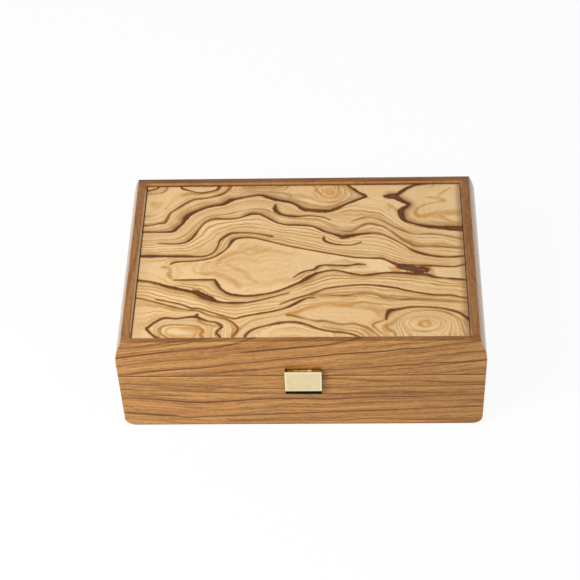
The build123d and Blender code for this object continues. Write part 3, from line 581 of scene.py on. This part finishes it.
class Panel:
    """A grid over the veneer that its figure is worked out on."""

    def __init__(self, low, high, step):
        self.counts = [int(round((end - start) / step)) + 1 for start, end in zip(low, high)]
        self.axes = [np.linspace(*span) for span in zip(low, high, self.counts)]
        self.x, self.y = np.meshgrid(*self.axes, indexing="ij")
        self.low, self.step = np.array(low), step

    def index(self, xy):
        """The nearest grid point of each xy."""
        ij = np.rint((np.asarray(xy) - self.low) / self.step).astype(int)
        return np.clip(ij, 0, np.array(self.counts) - 1)

    def sample(self, field, other):
        """A field over this grid, read at the points of another grid."""
        i, j = self.index(np.stack([other.x.ravel(), other.y.ravel()], 1)).T
        return field[i, j].reshape(other.x.shape)

    def nearest(self, line, reach):
        """How far the line is within reach, its side, 1 on the left, and the line's width there."""
        far = np.full(self.x.shape, OUT_OF_REACH)
        side, width = np.ones_like(far), np.zeros_like(far)
        for start, end in zip(line, line[1:]):
            margin = reach + max(start[2], end[2])
            low = self.index(np.minimum(start[:2], end[:2]) - margin)
            high = self.index(np.maximum(start[:2], end[:2]) + margin) + 1
            window = (slice(low[0], high[0]), slice(low[1], high[1]))
            x, y = self.x[window] - start[0], self.y[window] - start[1]
            dx, dy = (end - start)[:2]
            along = np.clip((x * dx + y * dy) / max(dx * dx + dy * dy, 1e-9), 0, 1)
            away = np.hypot(x - along * dx, y - along * dy)
            closer = away < far[window]
            far[window][closer] = away[closer]
            side[window][closer] = np.sign(dx * y - dy * x)[closer]
            width[window][closer] = (start[2] + (end[2] - start[2]) * along)[closer]
        return far, side, width

    def settle(self, fixed, guess, rounds):
        """Relaxes a field over the grid with its fixed places held."""
        field, held = guess.copy(), ~np.isnan(fixed)
        for _ in range(rounds):
            field[held] = fixed[held]
            edge = np.pad(field, 1, mode="edge")
            field = (edge[:-2, 1:-1] + edge[2:, 1:-1] + edge[1:-1, :-2] + edge[1:-1, 2:]) / 4
        field[held] = fixed[held]
        return field

    def levels(self, lines, hearts):
        """The growth field: a smooth height that has each line's level along that line."""
        marks = [(line[:, :2], np.full(len(line), level)) for line, level in lines]
        count = HEART_POINTS
        marks += [(np.linspace(start, end, count), np.full(count, level)) for start, end, level in hearts]
        field = None
        for coarse, rounds in RELAXING:
            grid = Panel(self.low, (self.axes[0][-1], self.axes[1][-1]), self.step * coarse)
            total, hits = np.zeros(grid.x.shape), np.zeros(grid.x.shape)
            for places, values in marks:
                i, j = grid.index(places).T
                np.add.at(total, (i, j), values)
                np.add.at(hits, (i, j), 1)
            fixed = np.where(hits > 0, total / np.maximum(hits, 1), np.nan)
            if field is None:
                guess = np.full(grid.x.shape, np.nanmean(fixed))
            else:
                guess = previous.sample(field, grid)
            field, previous = grid.settle(fixed, guess, rounds), grid
        nothing_fixed = np.full(self.x.shape, np.nan)
        return self.settle(nothing_fixed, previous.sample(field, self), LAST_ROUNDS)


def ease(value, low, high):
    t = np.clip((value - low) / (high - low), 0, 1)
    return t * t * (3 - 2 * t)


def flutter(panel, cell, seed):
    """Smooth random numbers from about -1 to 1 over the panel, which change over cell millimetres."""
    places = zip(panel.x.ravel() / cell, panel.y.ravel() / cell)
    values = [noise.noise(Vector((x, y, seed))) for x, y in places]
    return np.array(values).reshape(panel.x.shape) * 1.6


def strokes(panel, lines, softness, by_width=0.0):
    """How much soft strokes cover each place of the panel, from 0 to 1."""
    cover = np.zeros(panel.x.shape)
    for strength, points in lines.values():
        away, _, width = panel.nearest(smooth_line(points), softness + 3)
        blur = softness + by_width * width
        soft = 1 - ease(away, width / 2 - blur / 3, width / 2 + blur)
        cover = np.maximum(cover, soft * strength)
    return cover


def draw_figure(panel):
    """The figure as fields over the panel: the growth level and how steep it is, how far outside
    the edge of the nearest line, how dark that line is and how ragged, and the soft tints."""
    swell, break_up = flutter(panel, 9.0, 2.0), flutter(panel, 13.0, 3.0)
    edge = np.full(panel.x.shape, MOST_OUTSIDE)
    dark, play, brown = (np.zeros(panel.x.shape) for _ in range(3))
    traced = []
    for growth, darkness, fade, points in FIGURE.values():
        spline = smooth_line(points)
        traced.append((spline, growth))
        reach = abs(fade) * 2
        away, side, width = panel.nearest(spline, reach + 2)
        width = width * (0.88 + 0.3 * swell)
        outside = away - width / 2
        strength = darkness * np.clip(0.55 + width * 0.45, 0, 1) * (0.92 + 0.2 * break_up)
        nearer = outside < edge
        edge, dark = np.where(nearer, outside, edge), np.where(nearer, strength, dark)
        play = np.where(nearer, np.clip(width / 2.2, 0.35, 1.5), play)
        on_side = side * math.copysign(1, fade) > 0
        spread = 1 - np.clip(outside / (reach * np.clip(width, 0.6, 2.2) / 1.6), 0, 1)
        brown = np.maximum(brown, np.where(on_side & (away < OUT_OF_REACH), spread**1.4 * strength, 0))
    level = panel.levels(traced, HEARTS)
    steep = np.clip(np.hypot(*np.gradient(level, panel.step)), 0, 2)
    return dict(level=level, steep=steep, edge=edge, dark=np.clip(dark, 0, 1), play=play,
                brown=brown, amber=strokes(panel, AMBER, 0.5, 0.45), grey=strokes(panel, GREY, 5.0),
                calm=strokes(panel, CALM, 5.0))


def make_veneer():
    """The veneer sheet as a fine grid whose points carry the figure."""
    low, high = box_mm("lid_veneer")
    panel = Panel(low[:2], high[:2], VENEER_GRID)
    fields = draw_figure(panel)
    columns, rows = panel.counts
    top = np.stack([panel.x.ravel(), panel.y.ravel(), np.full(panel.x.size, high[2])], 1)
    number = np.arange(len(top)).reshape(columns, rows)
    rim = [*number[:, 0], *number[-1, 1:], *number[-2::-1, -1], *number[0, -2:0:-1]]
    rim = [int(corner) for corner in rim]
    skirt = top[rim]
    skirt[:, 2] = low[2]
    squares = (number[:-1, :-1], number[1:, :-1], number[1:, 1:], number[:-1, 1:])
    faces = np.stack([corners.ravel() for corners in squares], 1).tolist()
    first = len(top)
    for k, corner in enumerate(rim):
        after = (k + 1) % len(rim)
        faces.append((corner, first + k, first + after, rim[after]))
    faces.append(tuple(first + k for k in reversed(range(len(rim)))))
    mesh = bpy.data.meshes.new("veneer_sheet")
    mesh.from_pydata((np.vstack([top, skirt]) * MM).tolist(), [], faces)
    for name, field in fields.items():
        values = np.concatenate([field.ravel(), field.ravel()[rim]])
        mesh.attributes.new(name, "FLOAT", "POINT").data.foreach_set("value", values.astype(np.float32))
    sheet = add_object("veneer_sheet", mesh)
    mesh.materials.append(veneer_material(fields))
    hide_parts("lid_veneer")
    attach(sheet, "lid")


def veneer_material(fields):
    """Growth rings, soft tints and dark lines, read from the fields on the sheet's points."""
    n = material_nodes("figured_veneer_look")
    level, steep, edge, dark, play, brown, amber, grey, calm = (
        n.add("Attribute", attribute_name=name).outputs["Fac"] for name in fields)
    x, y, _ = n.place()
    flat = n.vector(x, y, 0.0)
    waver = n.plus(level, n.noise(flat, 0.08), 3.2)
    height = n.plus(waver, n.noise(flat, 0.5), 0.5)
    height = n.plus(height, n.noise(n.vector(waver, 0.0, 0.0), 0.22, detail=1.0), 5.0)

    def rings(spacing, seed):
        """Growth rings: each darkens outwards and then ends at once, some more than others."""
        turns = n.plus(seed, height, 1 / spacing)
        number = n.math("FLOOR", turns)
        part = n.minus(turns, number)
        chance = n.add("TexWhiteNoise", noise_dimensions="1D")
        n.put(chance.inputs["W"], number)
        strength = n.ramp(chance.outputs["Value"], 0.0, 0.8, 0.25, 1.0, smooth=False)
        return n.times(n.ramp(part, 0.4, 0.75), n.ramp(part, 0.85, 1.0, 1.0, 0.0), strength)

    def drifting(spacing, drift, seed):
        """Noise that follows the growth levels and drifts slowly along them."""
        spot = n.vector(height, n.times(x, drift), n.plus(seed, y, drift))
        return n.noise(spot, 1 / spacing, detail=1.0)

    broad, hairs = drifting(4.2, 0.03, 0.0), drifting(0.8, 0.05, 19.0)
    clouds = n.noise(n.vector(x, y, 3.0), 0.045)
    fibre = n.noise(n.vector(n.times(x, 0.16), y, 0.0), 2.0, detail=3.0, roughness=0.7)
    pits = n.noise(n.vector(n.times(x, 0.5), y, 9.0), 1.5, detail=1.0)
    speckle = n.noise(n.vector(x, n.times(y, 0.5), 5.0), 2.4, roughness=0.7)
    lively = n.plus(1.0, calm, -0.85)
    clear = n.times(n.ramp(clouds, 0.36, 0.56, 0.6, 1.0), n.ramp(steep, 0.1, 0.6, 0.3, 1.0), lively)
    streaky = n.times(brown, n.ramp(fibre, 0.3, 0.7, 1.0, 0.7))

    # The dark lines: a ragged edge, a brown halo, a dark core and a paler inside where wide.
    ragged = n.noise(n.vector(n.times(x, 0.45), y, 13.0), 1.1, roughness=0.6)
    ragged = n.times(n.minus(ragged, 0.5), n.times(play, 1.7))
    outside = n.plus(edge, ragged)
    halo = n.times(n.ramp(outside, 0.0, 0.8, 1.0, 0.0), n.ramp(dark, 0.0, 0.6))
    core = n.times(n.ramp(outside, -0.5, 0.3, 1.0, 0.0), n.ramp(dark, 0.3, 0.85))
    inside = n.larger(
        n.times(n.ramp(outside, -2.6, -1.2, 0.85, 0.0), n.ramp(speckle, 0.36, 0.6, 0.5, 1.0)),
        n.times(n.ramp(outside, -0.9, -0.3, 0.5, 0.0), n.ramp(speckle, 0.5, 0.66)))

    # Painted shade along the right, left and back edges of the panel, next to the rim.
    edge_shade = n.larger(n.ramp(x, 103.4, 108.0, 0.0, 0.65), n.ramp(x, -98.0, -107.5, 0.0, 0.16))
    edge_shade = n.larger(edge_shade, n.ramp(y, 68.0, 70.4, 0.0, 0.3))

    plain = n.mix(n.ramp(clouds, 0.3, 0.7, 0.7, 1.0), VENEER_PALE, VENEER_TAN)
    colour = n.layered(
        n.mix(n.ramp(broad, 0.38, 0.64), VENEER_PALE, VENEER_TAN),
        (n.times(calm, 0.6), plain),
        (n.times(rings(2.8, 0.0), clear), VENEER_GRAIN),
        (n.times(rings(1.9, 31.3), clear, 0.6), VENEER_GRAIN),
        (n.times(n.ramp(hairs, 0.54, 0.68, 0.0, 0.3), lively), VENEER_GRAIN),
        (n.times(grey, n.ramp(clouds, 0.3, 0.7, 0.25, 0.6)), VENEER_GREY),
        (n.ramp(fibre, 0.5, 0.75, 0.0, 0.4), VENEER_GRAIN),
        (n.ramp(fibre, 0.25, 0.48, 0.5, 0.0), VENEER_PALE),
        (n.times(amber, n.ramp(hairs, 0.35, 0.6, 0.65, 0.95)), VENEER_AMBER),
        (n.ramp(streaky, 0.0, 0.5, 0.0, 0.75, smooth=False), VENEER_SHADE),
        (n.ramp(streaky, 0.45, 1.0, 0.0, 0.85), VENEER_BROWN),
        # Painted shade next to the rim.
        (edge_shade, VENEER_EDGE_SHADE),
        (halo, VENEER_BROWN),
        (n.times(core, n.minus(1.0, inside)), VENEER_DARK),
        (n.ramp(pits, 0.73, 0.78, 0.0, 0.6), VENEER_BROWN))
    return n.surface(colour, n.ramp(fibre, 0.2, 0.8, 0.42, 0.55), n.bump(n.plus(hairs, fibre), 0.03),
                     IOR=1.45, Specular_IOR_Level=0.3)


# The other materials.


def grain_lines(n, x, height, lines):
    """How dark named grain lines make each place, from 0 to 1."""
    total = 0.0
    for dark, shaded, points in lines.values():
        middle = n.curve(x, [(px, h) for px, h, _ in points], GRAIN_X, GRAIN_HEIGHT)
        width = n.curve(x, [(px, w) for px, _, w in points], GRAIN_X, GRAIN_WIDTH)
        above = n.minus(height, middle)
        half = n.times(width, 0.5)
        core = n.ramp(n.math("ABSOLUTE", above), n.minus(half, GRAIN_SOFTNESS / 2),
                      n.plus(half, GRAIN_SOFTNESS), dark, 0.0)
        shade = n.times(n.ramp(above, 0.0, GRAIN_SHADE_REACH, shaded, 0.0),
                        n.ramp(above, -GRAIN_SOFTNESS, 0.0))
        total = n.larger(n.times(n.larger(core, shade), n.ramp(width, 0.0, 0.6)), total)
    return total


def case_wood_material():
    """Straight-grained wood that is wrapped round the case, with its grain turned at each corner."""
    n = material_nodes("case_wood_look")
    x, y, z = n.place()
    seam, top = box_mm("base_front")[1][2], box_mm("lid_front")[1][2]
    half_width, half_depth, _ = box_mm("base_back")[1]
    from_end = n.minus(half_width, n.math("ABSOLUTE", x))
    from_face = n.minus(half_depth, n.math("ABSOLUTE", y))
    is_end = n.math("LESS_THAN", from_end, from_face)
    along = n.pick(is_end, x, y)
    inward = n.smaller(from_end, from_face)
    across = n.plus(z, inward)
    facing = n.pick(is_end, n.math("SIGN", y), n.math("SIGN", x))
    in_lid = n.math("GREATER_THAN", z, seam + 0.2)
    is_front = n.times(n.math("LESS_THAN", is_end, 0.5), n.math("LESS_THAN", y, 0.0))
    seed = n.plus(n.plus(n.times(facing, 11.0), is_end, 37.0), in_lid, 53.0)

    # The grain follows one named line of the lid and one of the base, and wavers about it.
    sweeps = [n.curve(x, [point[:2] for point in points], GRAIN_X, GRAIN_HEIGHT)
              for _, _, points in (BASE_GRAIN["sag"], LID_GRAIN["long_sweep"])]
    sweep = n.times(n.pick(in_lid, *sweeps), is_front)
    slow = n.noise(n.vector(n.times(along, 0.5), n.times(across, 0.7), seed), 0.02, detail=1.0)
    bent = n.plus(n.minus(across, sweep), n.times(slow, n.plus(26.0, is_front, -20.0)))

    def streaks(length, spacing, detail=0.0):
        """Noise drawn out along the grain, by its rough length and spacing in millimetres."""
        spot = n.vector(n.times(along, spacing / length), bent, seed)
        return n.noise(spot, 1 / spacing, detail, 0.6)

    bands, lines, hairs = streaks(110, 6), streaks(90, 2.4), streaks(60, 1.1)
    fibre, flecks = streaks(11, 0.8, 2.0), streaks(3.2, 0.9, 1.0)
    named = n.pick(in_lid, *(grain_lines(n, x, across, grain) for grain in (BASE_GRAIN, LID_GRAIN)))
    broken = n.times(named, is_front, n.ramp(hairs, 0.3, 0.6, 0.7, 1.0))
    in_rim = n.ramp(z, top - RIM_DEPTH, top - RIM_DEPTH + 0.5)
    plain = n.minus(1.0, n.larger(n.times(is_front, 0.55), n.times(in_rim, 0.85)))
    # The rim's inner chamfer, painted with a highlight on the left end, the front and the back, and with
    # shade on the right end.
    bevel = n.times(n.math("GREATER_THAN", inward, n.pick(is_end, BEVEL_IN_LONG, BEVEL_IN_SHORT)),
                    n.ramp(z, top - 1.2, top - 0.9), n.ramp(z, top - 0.1, top - 0.02, 1.0, 0.0))
    rim = n.times(in_rim, n.ramp(inward, 0.6, 1.4), n.minus(1.0, bevel))
    end_bevel_highlight_and_shade = n.mix(n.math("LESS_THAN", x, 0.0), BEVEL_SHADE_RIGHT, BEVEL_HIGHLIGHT_LEFT)
    # Painted shade: the lowest 2 mm of the lid, over the seam, and the bottom 1.4 mm of the base are
    # darker.
    seam_shade = n.times(in_lid, n.ramp(z, seam + 1.3, seam + 2.0, 1.0, 0.0), 0.85)
    foot_shade = n.ramp(z, 0.0, 1.4, 0.6, 0.0)
    # Painted highlight on the base's chamfer just below the seam.
    seam_highlight = n.times(n.ramp(z, seam - 0.7, seam - 0.3), n.ramp(z, seam, seam + 0.1, 1.0, 0.0), 0.6)

    colour = n.layered(
        n.mix(n.ramp(bands, 0.36, 0.64), WOOD_LIGHT, WOOD_MIDDLE),
        (n.ramp(lines, 0.42, 0.7, 0.0, 0.65), WOOD_BROWN),
        (n.times(n.ramp(lines, 0.62, 0.78), plain), WOOD_DARK),
        (n.ramp(hairs, 0.5, 0.75, 0.0, 0.55), WOOD_BROWN),
        (n.ramp(hairs, 0.25, 0.48, 0.3, 0.0), WOOD_PALE_AND_HIGHLIGHT),
        (n.ramp(fibre, 0.5, 0.7, 0.0, 0.42), WOOD_DARK),
        (n.ramp(fibre, 0.3, 0.48, 0.35, 0.0), WOOD_LIGHT),
        (n.ramp(flecks, 0.5, 0.68, 0.0, 0.2), WOOD_DARK),
        (n.ramp(flecks, 0.3, 0.46, 0.3, 0.0), WOOD_PALE_AND_HIGHLIGHT),
        (n.ramp(broken, 0.0, 0.95, smooth=False), WOOD_DARK),
        # Painted shade: the front grows darker towards its right end.
        (n.times(is_front, n.ramp(x, 20.0, 110.0, 0.0, 0.1)), WOOD_DARK),
        (n.times(bevel, 0.7), n.mix(is_end, BEVEL_HIGHLIGHT, end_bevel_highlight_and_shade)))
    colour = n.mix(n.times(rim, n.ramp(y, 66.0, 72.0, 0.7, 1.0)), colour, RIM_SHADE, "MULTIPLY")
    colour = n.layered(colour, (n.larger(seam_shade, foot_shade), WOOD_DARK), (seam_highlight, WOOD_PALE_AND_HIGHLIGHT))
    return n.surface(colour, n.ramp(fibre, 0.2, 0.8, 0.4, 0.55), n.bump(n.plus(hairs, fibre), 0.03),
                     IOR=1.45, Specular_IOR_Level=0.1, Coat_Weight=1.0, Coat_IOR=1.25,
                     Coat_Roughness=0.18)


def birch_material():
    """Pale plywood, for the bottom and for the board under the veneer."""
    n = material_nodes("panel_board_look")
    x, y, z = n.place()
    grain = n.noise(n.vector(n.times(x, 0.04), y, z), 0.7, detail=4.0, roughness=0.6)
    fleck = n.noise(n.vector(n.times(x, 0.2), y, z), 2.5)
    colour = n.layered(
        BIRCH, (n.ramp(grain, 0.35, 0.7), BIRCH_GRAIN), (n.ramp(fleck, 0.6, 0.8, 0.0, 0.4), BIRCH_FLECK))
    return n.surface(colour, n.ramp(grain, 0.3, 0.7, 0.5, 0.65), n.bump(grain, 0.03), IOR=1.45)


def metal_material(name, colour, worn, roughness, brush_axis=0):
    """Brushed metal with fine scratches along one axis and a darker, duller tarnish in places."""
    n = material_nodes(name)
    place = list(n.place())
    tarnish = n.noise(n.vector(*place), 0.25, detail=3.0)
    place[brush_axis] = n.times(place[brush_axis], 0.03)
    brushed = n.noise(n.vector(*place), 9.0, roughness=0.6)
    shade = n.layered(
        colour,
        (n.ramp(brushed, 0.3, 0.7, 0.0, 0.25), worn),
        (n.ramp(tarnish, 0.45, 0.75, 0.0, 0.35), worn))
    rough = n.ramp(brushed, 0.2, 0.8, roughness - 0.04, roughness + 0.08)
    return n.surface(shade, rough, n.bump(brushed, 0.004), metallic=1.0)


def clasp_material():
    """Pale brushed brass on the face of the clasp, with a painted highlight round the bevel of its face,
    and a darker hood on the faces turned up, with a painted glint.
    """
    n = material_nodes("clasp_brass_look")
    x, y, z = n.place()
    low, high = box_mm("clasp_flap")
    facing_up = n.split(n.add("TexCoord").outputs["Normal"])[2]
    brushed = n.noise(n.vector(n.times(x, 0.03), y, z), 7.0, roughness=0.6)
    tarnish = n.noise(n.vector(x, y, z), 0.22, detail=3.0)
    spots = n.noise(n.vector(x, 4.0, 0.0), 0.24)
    from_side = n.smaller(n.minus(x, low[0]), n.minus(high[0], x))
    from_end = n.smaller(n.minus(z, low[2]), n.minus(high[2], z))
    # Painted highlight round the bevelled edge of the face.
    border_highlight = n.ramp(n.smaller(from_side, from_end), CLASP_BORDER / 2, CLASP_BORDER, 0.7, 0.0)
    face = n.layered(
        BRASS_FACE,
        (n.ramp(brushed, 0.3, 0.7, 0.0, 0.3), BRASS_SHADE),
        (n.ramp(tarnish, 0.4, 0.7, 0.0, 0.45), BRASS_SHADE),
        (border_highlight, BRASS_HIGHLIGHT))
    # Painted glint on the hood's top.
    from_glint = n.math("ABSOLUTE", n.minus(x, low[0] + 0.68 * (high[0] - low[0])))
    hood = n.layered(
        BRASS_DARK,
        (n.ramp(spots, 0.4, 0.6, 0.1, 0.6), BRASS_TOP),
        (n.ramp(from_glint, 0.7, 1.8, 0.45, 0.0), BRASS_HIGHLIGHT),
        (n.ramp(x, low[0] + 1.4, low[0] + 2.6, 0.7, 0.0), BRASS_EDGE))
    behind = n.times(n.ramp(z, high[2] - 2.2, high[2] - 1.9), n.ramp(y, low[1] + 0.85, low[1] + 1.1))
    is_hood = n.larger(behind, n.ramp(facing_up, 0.6, 0.9))
    return n.surface(n.mix(is_hood, face, hood), n.ramp(brushed, 0.2, 0.8, 0.3, 0.42),
                     n.bump(brushed, 0.004), metallic=1.0)


def keeper_material():
    """Semi-matt black paint with a fine grain."""
    n = material_nodes("keeper_black_look")
    grain = n.noise(n.vector(*n.place()), 6.0, detail=3.0)
    colour = n.mix(grain, KEEPER_BLACK, KEEPER_GREY)
    return n.surface(colour, n.ramp(grain, 0.3, 0.7, 0.55, 0.7), n.bump(grain, 0.01), IOR=1.4,
                     Specular_IOR_Level=0.06)


def felt_material():
    """Dark felt with tufts and pale hairs."""
    n = material_nodes("felt_look")
    place = n.vector(*n.place())
    tufts = n.noise(place, 1.6, detail=4.0, roughness=0.7)
    hairs = n.noise(place, 6.5, detail=3.0, roughness=0.8, distortion=0.6)
    colour = n.layered(
        FELT_DEEP, (n.ramp(tufts, 0.3, 0.7), FELT_DARK), (n.ramp(hairs, 0.5, 0.8, 0.0, 0.5), FELT_HAIR))
    return n.surface(colour, n.ramp(hairs, 0.3, 0.7, 0.9, 1.0), n.bump(n.plus(tufts, hairs), 0.16),
                     Sheen_Weight=0.25, Sheen_Roughness=0.5)


# The felt pieces.


def felt_sheet(name, node, body, look, loops):
    """A felt piece of its own that stands for a CAD lining, as a skin over loops."""
    shape = bmesh.new()
    rings = [[shape.verts.new(metres(*place)) for place in loop] for loop in loops]
    for lower, upper in zip(rings, rings[1:]):
        for k, corner in enumerate(lower):
            after = (k + 1) % len(lower)
            shape.faces.new((corner, lower[after], upper[after], upper[k]))
    shape.faces.new(rings[-1])
    shape.faces.new(list(reversed(rings[0])))
    bmesh.ops.recalc_face_normals(shape, faces=shape.faces)
    mesh = bpy.data.meshes.new(name)
    shape.to_mesh(mesh)
    shape.free()
    mesh.materials.append(look)
    piece = add_object(name, mesh)
    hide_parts(node)
    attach(piece, body)
    return piece


def rounded_loop(low, high, inset, radius, height):
    """Places round a rectangle with rounded corners, inset from low and high."""
    x0, x1, y0, y1 = low[0] + inset, high[0] - inset, low[1] + inset, high[1] - inset
    corners = ((x1 - radius, y1 - radius, 0), (x0 + radius, y1 - radius, 90),
               (x0 + radius, y0 + radius, 180), (x1 - radius, y0 + radius, 270))
    turns = [math.radians(18 * k) for k in range(6)]
    return [(cx + radius * math.cos(math.radians(start) + turn),
             cy + radius * math.sin(math.radians(start) + turn), height)
            for cx, cy, start in corners for turn in turns]


def tray_felt(low, high):
    """One compartment's felt as loops: up the walls, over their top edge and across the floor."""
    thickness, fold = FELT_THICKNESS, TRAY_FOLD
    shoulder, floor = high[2] - FELT_TOP, low[2] + thickness + fold
    eighths = [math.pi * k / 8 for k in range(1, 5)]
    profile = [(0.0, low[2] + 0.1), (0.0, shoulder)]
    profile += [(thickness * (1 - math.cos(2 * a)) / 2, shoulder + FELT_TOP * math.sin(2 * a))
                for a in eighths[:-1]]
    profile += [(thickness, shoulder), (thickness, floor)]
    profile += [(thickness + fold * (1 - math.cos(a)), floor - fold * math.sin(a)) for a in eighths]
    return [rounded_loop(low, high, inset, max(TRAY_CORNER - inset, 0.3), height)
            for inset, height in profile]


def flat_felt(low, high):
    """A flat felt sheet as loops, with its cut edges a little rounded."""
    edge = LID_FELT_EDGE
    profile = ((edge, low[2]), (0.0, low[2] + edge), (0.0, high[2] - edge), (edge, high[2]))
    return [rounded_loop(low, high, inset, LID_FELT_CORNER, height) for inset, height in profile]


def make_felt():
    look = felt_material()
    for side in ("left", "right"):
        node = f"tray_lining_{side}"
        low, high = box_mm(node)
        low[2] += 0.02
        piece = felt_sheet(f"tray_felt_{side}", node, "base", look, tray_felt(low, high))
    low, high = box_mm("lid_lining")
    piece = felt_sheet("lid_felt", "lid_lining", "lid", look, flat_felt(low, high))


# The camera, the light and the floor.


def make_camera():
    """The camera that the photograph was fitted with."""
    turn = Matrix.Identity(3)
    for angle, axis in ((CAMERA_YAW, "Z"), (90 - CAMERA_ELEVATION, "X"), (CAMERA_ROLL, "Z")):
        turn = turn @ Matrix.Rotation(math.radians(angle), 3, axis)
    away = turn @ metres(CAMERA_SHIFT_RIGHT, CAMERA_SHIFT_UP, CAMERA_DISTANCE)
    data = bpy.data.cameras.new("camera")
    data.lens, data.sensor_width = CAMERA_LENS, SENSOR_WIDTH
    data.clip_start, data.clip_end = CLIP_NEAR * MM, CLIP_FAR * MM
    camera = add_object("camera", data)
    camera.matrix_world = Matrix.Translation(metres(*CAMERA_TARGET) + away) @ turn.to_4x4()
    bpy.context.scene.camera = camera


def make_lamp(name, place, size, power):
    """A soft square lamp that looks at the box."""
    data = bpy.data.lights.new(name, "AREA")
    data.shape, data.size, data.energy = "SQUARE", size * MM, power
    lamp = add_object(name, data)
    lamp.location = metres(*place)
    lamp.rotation_euler = (metres(*CAMERA_TARGET) - lamp.location).to_track_quat("-Z", "Y").to_euler()


def make_world():
    """Light from all round, which the camera sees as white."""
    world = bpy.data.worlds.new("studio")
    bpy.context.scene.world = world
    n = Nodes(world, "OutputWorld")
    mix = n.add("MixShader")
    n.put(mix.inputs[0], n.seen_directly())
    for place, strength in ((1, WORLD_STRENGTH), (2, 1.0)):
        light = n.add("Background")
        light.inputs["Strength"].default_value = strength
        light.inputs["Color"].default_value = (1, 1, 1, 1)
        n.put(mix.inputs[place], light.outputs[0])
    n.put(n.output.inputs["Surface"], mix.outputs[0])


def make_floor():
    """A plain pale floor that takes the shadow and shows white where it is lit."""
    mesh = bpy.data.meshes.new("floor")
    corners = [metres(across * FLOOR_REACH, along * FLOOR_REACH, -FLOOR_DROP)
               for across, along in ((-1, -1), (1, -1), (1, 1), (-1, 1))]
    mesh.from_pydata(corners, [], [(0, 1, 2, 3)])
    floor = add_object("floor", mesh)
    n = material_nodes("floor_look")
    paper = n.noise(n.vector(*n.place()), 0.05, detail=3.0)
    matt = n.add("BsdfDiffuse")
    n.put(matt.inputs["Color"], n.mix(paper, FLOOR_WHITE, FLOOR_GREY))
    glow = n.add("Emission")
    mix = n.add("MixShader")
    shares = (n.times(n.seen_directly(), FLOOR_GLOW), matt.outputs[0], glow.outputs[0])
    for socket, value in zip(mix.inputs, shares):
        n.put(socket, value)
    n.put(n.output.inputs["Surface"], mix.outputs[0])
    mesh.materials.append(n.owner)


# The scene.

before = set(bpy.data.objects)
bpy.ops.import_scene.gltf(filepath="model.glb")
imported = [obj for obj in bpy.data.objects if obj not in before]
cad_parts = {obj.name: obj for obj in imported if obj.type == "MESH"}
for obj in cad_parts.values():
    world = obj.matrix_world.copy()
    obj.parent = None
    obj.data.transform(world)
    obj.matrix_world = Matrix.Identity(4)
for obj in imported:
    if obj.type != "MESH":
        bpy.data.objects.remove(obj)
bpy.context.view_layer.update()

bpy.context.scene.view_settings.view_transform = "Standard"
make_camera()
make_world()
make_lamp("key", KEY_PLACE, KEY_SIZE, KEY_POWER)
make_lamp("fill", FILL_PLACE, FILL_SIZE, FILL_POWER)
make_floor()

LOOKS = {
    "case_wood": case_wood_material(),
    "panel_board": birch_material(),
    "hinge_brass": metal_material("hinge_brass_look", BRASS_OLD, HINGE_WORN, 0.32),
    "screw_brass": metal_material("screw_brass_look", BRASS_OLD, SCREW_WORN, 0.36, 1),
    "clasp_brass": clasp_material(),
    "keeper_black": keeper_material(),
    "magnet_steel": metal_material("magnet_steel_look", STEEL, STEEL_WORN, 0.28, 2),
}
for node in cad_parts.values():
    for slot in node.material_slots:
        known = slot.material.name.split(".")[0]
        if known in LOOKS:
            slot.material = LOOKS[known]

make_veneer()
make_felt()
